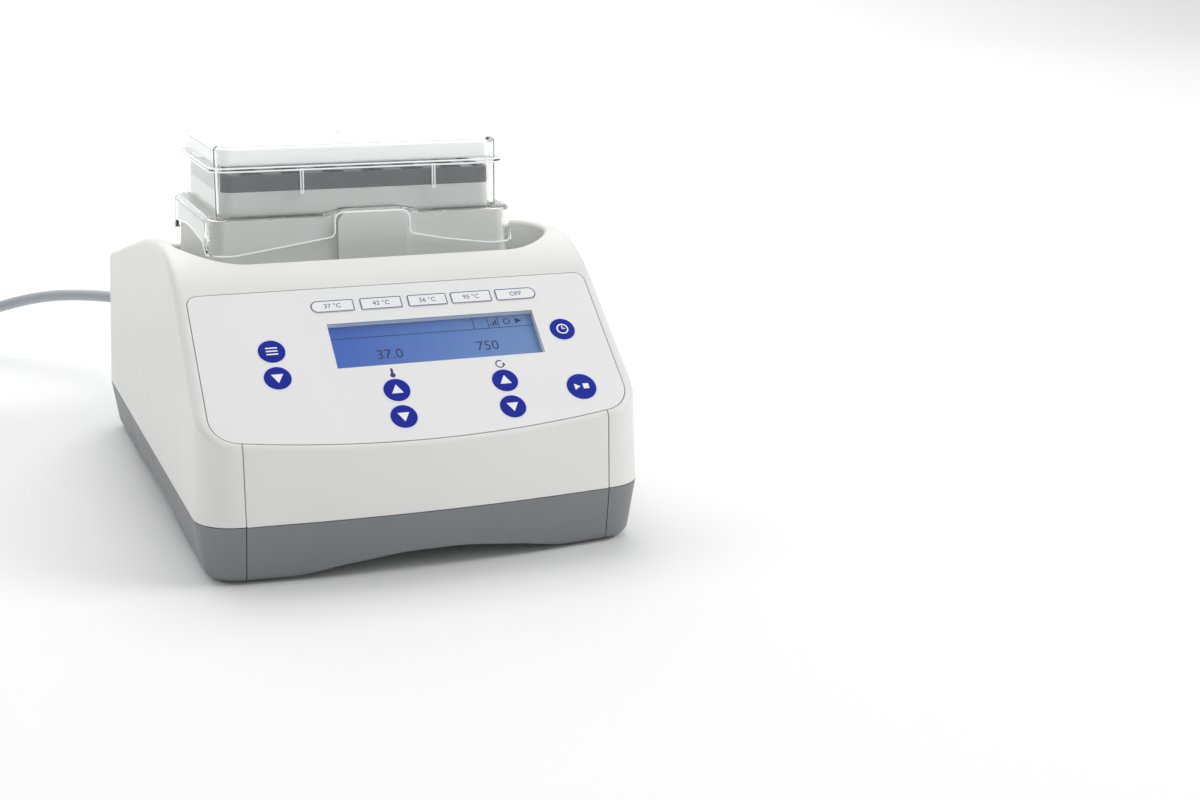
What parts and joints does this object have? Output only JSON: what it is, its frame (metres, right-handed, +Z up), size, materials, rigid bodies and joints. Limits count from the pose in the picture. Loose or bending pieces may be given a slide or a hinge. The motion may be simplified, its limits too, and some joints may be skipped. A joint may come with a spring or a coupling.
{
  "type": "thermal mixer",
  "caption": "Bench-top thermal mixer: wedge-shaped housing with keypad, and an orbiting heated block of tube wells under a clear lift-off lid.",
  "frame": {"origin": "middle of the housing's footprint, at the level of the bench", "axes": "+X to the right of someone facing the keypad, -Y towards that person, +Z up"},
  "size_m": [0.403, 0.523, 0.1762],
  "materials": {
    "white_abs": "satin",
    "grey_abs": "satin",
    "foot_rubber": "satin",
    "screw_steel": "satin",
    "circuit_board": "satin",
    "potting_resin": "satin",
    "tray_polymer": "satin",
    "keypad_film": "satin",
    "window_acrylic": "gloss",
    "display_glass": "gloss",
    "switch_polymer": "satin",
    "cast_aluminium": "satin",
    "bearing_steel": "satin",
    "motor_steel": "satin",
    "rotor_steel": "satin",
    "shaft_steel": "satin",
    "counterweight_steel": "satin",
    "table_aluminium": "satin",
    "block_body_abs": "satin",
    "collar_polymer": "satin",
    "block_aluminium": "satin",
    "heater_silicone": "satin",
    "sensor_steel": "satin",
    "clear_polycarbonate": "gloss",
    "insert_foam": "satin",
    "inlet_polymer": "satin",
    "rocker_polymer": "gloss",
    "fuse_glass": "gloss",
    "lead_pvc": "satin",
    "tie_polymer": "satin",
    "plug_pvc": "satin",
    "key_blue": "gloss",
    "key_white": "gloss"
  },
  "bodies": {
    "housing": {"upper_housing": "white_abs", "front_fascia": "white_abs", "base_pan": "grey_abs", "front_skirt": "grey_abs", "rubber_feet": "foot_rubber", "base_screws": "screw_steel", "power_board": "circuit_board", "power_transformer": "potting_resin", "well_tray": "tray_polymer", "keypad_panel": "keypad_film", "display_window": "window_acrylic", "display_module": "display_glass", "control_board": "circuit_board", "key_switches": "switch_polymer", "drive_chassis": "cast_aluminium", "main_bearings": "bearing_steel", "guide_bearings": "bearing_steel", "motor_stator": "motor_steel", "mains_inlet": "inlet_polymer", "rocker_frame": "inlet_polymer", "fuse_holder": "inlet_polymer", "cord_connector": "lead_pvc", "connector_relief": "lead_pvc", "mains_cord": "lead_pvc", "cord_coil": "lead_pvc", "coil_tie": "tie_polymer", "cord_tail": "lead_pvc", "mains_plug": "plug_pvc"},
    "crank": {"drive_shaft": "shaft_steel", "counterweight": "counterweight_steel", "motor_rotor": "rotor_steel"},
    "table": {"mixing_table": "table_aluminium", "table_bearings": "bearing_steel", "block_housing": "block_body_abs", "block_collar": "collar_polymer", "heating_block": "block_aluminium", "heater_plate": "heater_silicone", "temperature_sensor": "sensor_steel"},
    "lid": {"lid_cover": "clear_polycarbonate", "lid_insert": "insert_foam"},
    "rocker": {"power_rocker": "rocker_polymer"},
    "fuse_tray": {"fuse_drawer": "inlet_polymer", "mains_fuses": "fuse_glass"},
    "guide_1": {"guide_crank_1": "shaft_steel"},
    "guide_2": {"guide_crank_2": "shaft_steel"},
    "guide_3": {"guide_crank_3": "shaft_steel"},
    "key_menu_cap": {"key_menu": "key_blue"},
    "key_down_cap": {"key_down": "key_blue"},
    "key_temp_up_cap": {"key_temp_up": "key_blue"},
    "key_temp_down_cap": {"key_temp_down": "key_blue"},
    "key_speed_up_cap": {"key_speed_up": "key_blue"},
    "key_speed_down_cap": {"key_speed_down": "key_blue"},
    "key_short_cap": {"key_short": "key_blue"},
    "key_start_stop_cap": {"key_start_stop": "key_blue"},
    "key_preset_1_cap": {"key_preset_1": "key_white"},
    "key_preset_2_cap": {"key_preset_2": "key_white"},
    "key_preset_3_cap": {"key_preset_3": "key_white"},
    "key_preset_4_cap": {"key_preset_4": "key_white"},
    "key_preset_off_cap": {"key_preset_off": "key_white"}
  },
  "joints": [
    {"name": "motor_spin", "type": "hinge", "parent": "housing", "child": "crank", "pos_m": [0, 0.0108, 0.0785], "axis": [0, 0, 1], "continuous": true},
    {"name": "table_orbit", "type": "hinge", "parent": "crank", "child": "table", "pos_m": [0, 0.0123, 0.097], "axis": [0, 0, 1], "continuous": true},
    {"name": "lid_lift", "type": "slide", "parent": "table", "child": "lid", "axis": [0, 0, 1], "range_m": [0, 0.06]},
    {"name": "guide_spin_1", "type": "hinge", "parent": "housing", "child": "guide_1", "pos_m": [-0.046, -0.0092, 0.0865], "axis": [0, 0, 1], "continuous": true},
    {"name": "guide_spin_2", "type": "hinge", "parent": "housing", "child": "guide_2", "pos_m": [0.046, -0.0092, 0.0865], "axis": [0, 0, 1], "continuous": true},
    {"name": "guide_spin_3", "type": "hinge", "parent": "housing", "child": "guide_3", "pos_m": [0.046, 0.0308, 0.0865], "axis": [0, 0, 1], "continuous": true},
    {"name": "press_menu", "type": "slide", "parent": "housing", "child": "key_menu_cap", "axis": [0, 0.6494, -0.7604], "range_m": [0, 0.0006], "stiffness_N_per_m": 600, "springref_m": -0.0002},
    {"name": "press_down", "type": "slide", "parent": "housing", "child": "key_down_cap", "axis": [0, 0.6494, -0.7604], "range_m": [0, 0.0006], "stiffness_N_per_m": 600, "springref_m": -0.0002},
    {"name": "press_temp_up", "type": "slide", "parent": "housing", "child": "key_temp_up_cap", "axis": [0, 0.6494, -0.7604], "range_m": [0, 0.0006], "stiffness_N_per_m": 600, "springref_m": -0.0002},
    {"name": "press_temp_down", "type": "slide", "parent": "housing", "child": "key_temp_down_cap", "axis": [0, 0.6494, -0.7604], "range_m": [0, 0.0006], "stiffness_N_per_m": 600, "springref_m": -0.0002},
    {"name": "press_speed_up", "type": "slide", "parent": "housing", "child": "key_speed_up_cap", "axis": [0, 0.6494, -0.7604], "range_m": [0, 0.0006], "stiffness_N_per_m": 600, "springref_m": -0.0002},
    {"name": "press_speed_down", "type": "slide", "parent": "housing", "child": "key_speed_down_cap", "axis": [0, 0.6494, -0.7604], "range_m": [0, 0.0006], "stiffness_N_per_m": 600, "springref_m": -0.0002},
    {"name": "press_short", "type": "slide", "parent": "housing", "child": "key_short_cap", "axis": [0, 0.6494, -0.7604], "range_m": [0, 0.0006], "stiffness_N_per_m": 600, "springref_m": -0.0002},
    {"name": "press_start_stop", "type": "slide", "parent": "housing", "child": "key_start_stop_cap", "axis": [0, 0.6494, -0.7604], "range_m": [0, 0.0006], "stiffness_N_per_m": 600, "springref_m": -0.0002},
    {"name": "press_preset_1", "type": "slide", "parent": "housing", "child": "key_preset_1_cap", "axis": [0, 0.6494, -0.7604], "range_m": [0, 0.0006], "stiffness_N_per_m": 600, "springref_m": -0.0002},
    {"name": "press_preset_2", "type": "slide", "parent": "housing", "child": "key_preset_2_cap", "axis": [0, 0.6494, -0.7604], "range_m": [0, 0.0006], "stiffness_N_per_m": 600, "springref_m": -0.0002},
    {"name": "press_preset_3", "type": "slide", "parent": "housing", "child": "key_preset_3_cap", "axis": [0, 0.6494, -0.7604], "range_m": [0, 0.0006], "stiffness_N_per_m": 600, "springref_m": -0.0002},
    {"name": "press_preset_4", "type": "slide", "parent": "housing", "child": "key_preset_4_cap", "axis": [0, 0.6494, -0.7604], "range_m": [0, 0.0006], "stiffness_N_per_m": 600, "springref_m": -0.0002},
    {"name": "press_preset_off", "type": "slide", "parent": "housing", "child": "key_preset_off_cap", "axis": [0, 0.6494, -0.7604], "range_m": [0, 0.0006], "stiffness_N_per_m": 600, "springref_m": -0.0002},
    {"name": "power_switch", "type": "hinge", "parent": "housing", "child": "rocker", "pos_m": [-0.024, 0.14499, 0.046], "axis": [0, 0, 1], "range_deg": [0, 14]},
    {"name": "fuse_pull", "type": "slide", "parent": "housing", "child": "fuse_tray", "axis": [0, 1, 0], "range_m": [0, 0.024]}
  ],
  "couplings": [
    {"joint": "table_orbit", "follows": "motor_spin", "ratio": -1},
    {"joint": "guide_spin_1", "follows": "motor_spin", "ratio": 1},
    {"joint": "guide_spin_2", "follows": "motor_spin", "ratio": 1},
    {"joint": "guide_spin_3", "follows": "motor_spin", "ratio": 1}
  ]
}
